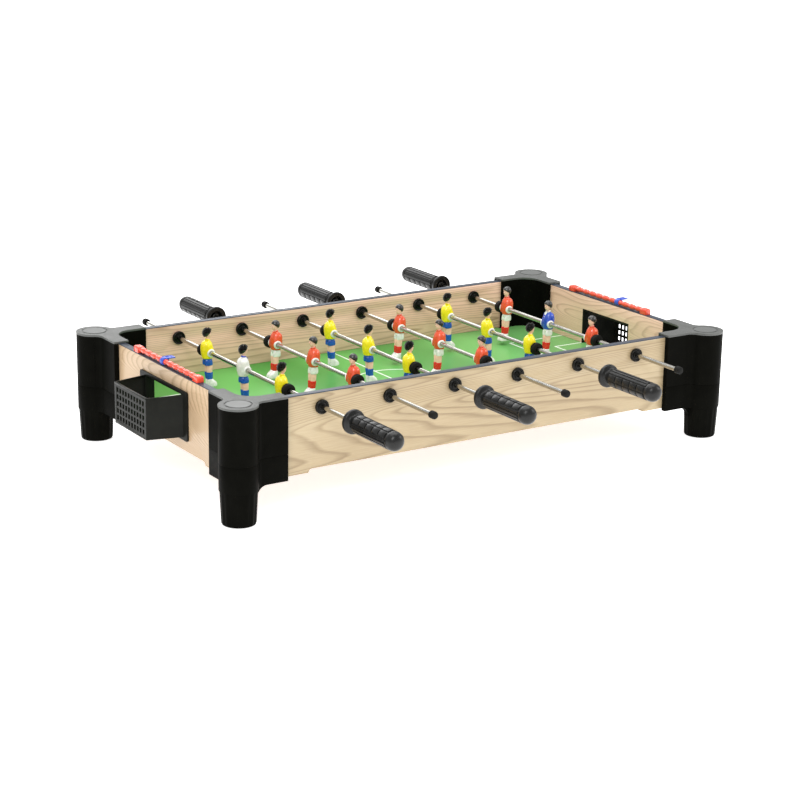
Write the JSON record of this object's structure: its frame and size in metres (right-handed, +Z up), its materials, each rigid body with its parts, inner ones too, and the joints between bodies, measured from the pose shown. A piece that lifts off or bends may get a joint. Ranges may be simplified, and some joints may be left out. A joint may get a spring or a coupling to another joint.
{
  "type": "foosball table",
  "caption": "Table-top foosball table: wood-grain walls in black corner legs, sliding and spinning player rods with grips, goal baskets and score bars with sliding pointers.",
  "frame": {"origin": "on the ground under the middle of the playfield", "axes": "+X along the table from the left goal to the right goal, +Y from the front wall to the back wall, +Z up"},
  "size_m": [0.9564, 0.866, 0.1884],
  "materials": {
    "oak_board": "satin",
    "playfield_green": "satin",
    "black_plastic": "satin",
    "handle_black": "matte",
    "rubber": "matte",
    "steel_rod": "polished",
    "yellow_team": "gloss",
    "red_team": "gloss",
    "keeper_white": "gloss",
    "keeper_blue": "gloss",
    "score_red": "gloss",
    "score_blue": "gloss"
  },
  "bodies": {
    "table": {"wall_front": "oak_board", "wall_back": "oak_board", "wall_left": "oak_board", "wall_right": "oak_board", "playfield": "playfield_green", "corner_front_left": "black_plastic", "corner_front_right": "black_plastic", "corner_back_left": "black_plastic", "corner_back_right": "black_plastic", "goal_basket_left": "black_plastic", "score_bar_left": "score_red", "goal_basket_right": "black_plastic", "score_bar_right": "score_red"},
    "carriage_1": {"stop_ring_1_front": "rubber", "stop_ring_1_back": "rubber"},
    "rod_assembly_1": {"rod_1": "steel_rod", "handle_1": "handle_black", "player_1_front": "yellow_team", "player_1_middle": "keeper_white", "player_1_back": "yellow_team"},
    "carriage_2": {"stop_ring_2_front": "rubber", "stop_ring_2_back": "rubber"},
    "rod_assembly_2": {"rod_2": "steel_rod", "handle_2": "handle_black", "player_2_front": "red_team", "player_2_middle": "red_team", "player_2_back": "red_team"},
    "carriage_3": {"stop_ring_3_front": "rubber", "stop_ring_3_back": "rubber"},
    "rod_assembly_3": {"rod_3": "steel_rod", "handle_3": "handle_black", "player_3_front": "yellow_team", "player_3_middle": "yellow_team", "player_3_back": "yellow_team"},
    "carriage_4": {"stop_ring_4_front": "rubber", "stop_ring_4_back": "rubber"},
    "rod_assembly_4": {"rod_4": "steel_rod", "handle_4": "handle_black", "player_4_front": "red_team", "player_4_middle": "red_team", "player_4_back": "red_team"},
    "carriage_5": {"stop_ring_5_front": "rubber", "stop_ring_5_back": "rubber"},
    "rod_assembly_5": {"rod_5": "steel_rod", "handle_5": "handle_black", "player_5_front": "yellow_team", "player_5_middle": "yellow_team", "player_5_back": "yellow_team"},
    "carriage_6": {"stop_ring_6_front": "rubber", "stop_ring_6_back": "rubber"},
    "rod_assembly_6": {"rod_6": "steel_rod", "handle_6": "handle_black", "player_6_front": "red_team", "player_6_middle": "keeper_blue", "player_6_back": "red_team"},
    "pointer_left": {"score_slider_left": "score_blue"},
    "pointer_right": {"score_slider_right": "score_blue"}
  },
  "joints": [
    {"name": "rod_1_slide", "type": "slide", "parent": "table", "child": "carriage_1", "axis": [0, 1, 0], "range_m": [-0.0735, 0.0775]},
    {"name": "rod_1_spin", "type": "hinge", "parent": "carriage_1", "child": "rod_assembly_1", "pos_m": [-0.2875, 0, 0.1504], "axis": [0, 1, 0], "continuous": true},
    {"name": "rod_2_slide", "type": "slide", "parent": "table", "child": "carriage_2", "axis": [0, 1, 0], "range_m": [-0.0665, 0.0845]},
    {"name": "rod_2_spin", "type": "hinge", "parent": "carriage_2", "child": "rod_assembly_2", "pos_m": [-0.1725, 0, 0.1504], "axis": [0, 1, 0], "continuous": true},
    {"name": "rod_3_slide", "type": "slide", "parent": "table", "child": "carriage_3", "axis": [0, 1, 0], "range_m": [-0.0835, 0.0675]},
    {"name": "rod_3_spin", "type": "hinge", "parent": "carriage_3", "child": "rod_assembly_3", "pos_m": [-0.0575, 0, 0.1504], "axis": [0, 1, 0], "continuous": true},
    {"name": "rod_4_slide", "type": "slide", "parent": "table", "child": "carriage_4", "axis": [0, 1, 0], "range_m": [-0.0605, 0.0905]},
    {"name": "rod_4_spin", "type": "hinge", "parent": "carriage_4", "child": "rod_assembly_4", "pos_m": [0.0575, 0, 0.1504], "axis": [0, 1, 0], "continuous": true},
    {"name": "rod_5_slide", "type": "slide", "parent": "table", "child": "carriage_5", "axis": [0, 1, 0], "range_m": [-0.0845, 0.0665]},
    {"name": "rod_5_spin", "type": "hinge", "parent": "carriage_5", "child": "rod_assembly_5", "pos_m": [0.1725, 0, 0.1504], "axis": [0, 1, 0], "continuous": true},
    {"name": "rod_6_slide", "type": "slide", "parent": "table", "child": "carriage_6", "axis": [0, 1, 0], "range_m": [-0.0775, 0.0735]},
    {"name": "rod_6_spin", "type": "hinge", "parent": "carriage_6", "child": "rod_assembly_6", "pos_m": [0.2875, 0, 0.1504], "axis": [0, 1, 0], "continuous": true},
    {"name": "score_left_slide", "type": "slide", "parent": "table", "child": "pointer_left", "axis": [0, 1, 0], "range_m": [-0.0949, 0.0729]},
    {"name": "score_right_slide", "type": "slide", "parent": "table", "child": "pointer_right", "axis": [0, 1, 0], "range_m": [-0.0579, 0.1099]}
  ]
}
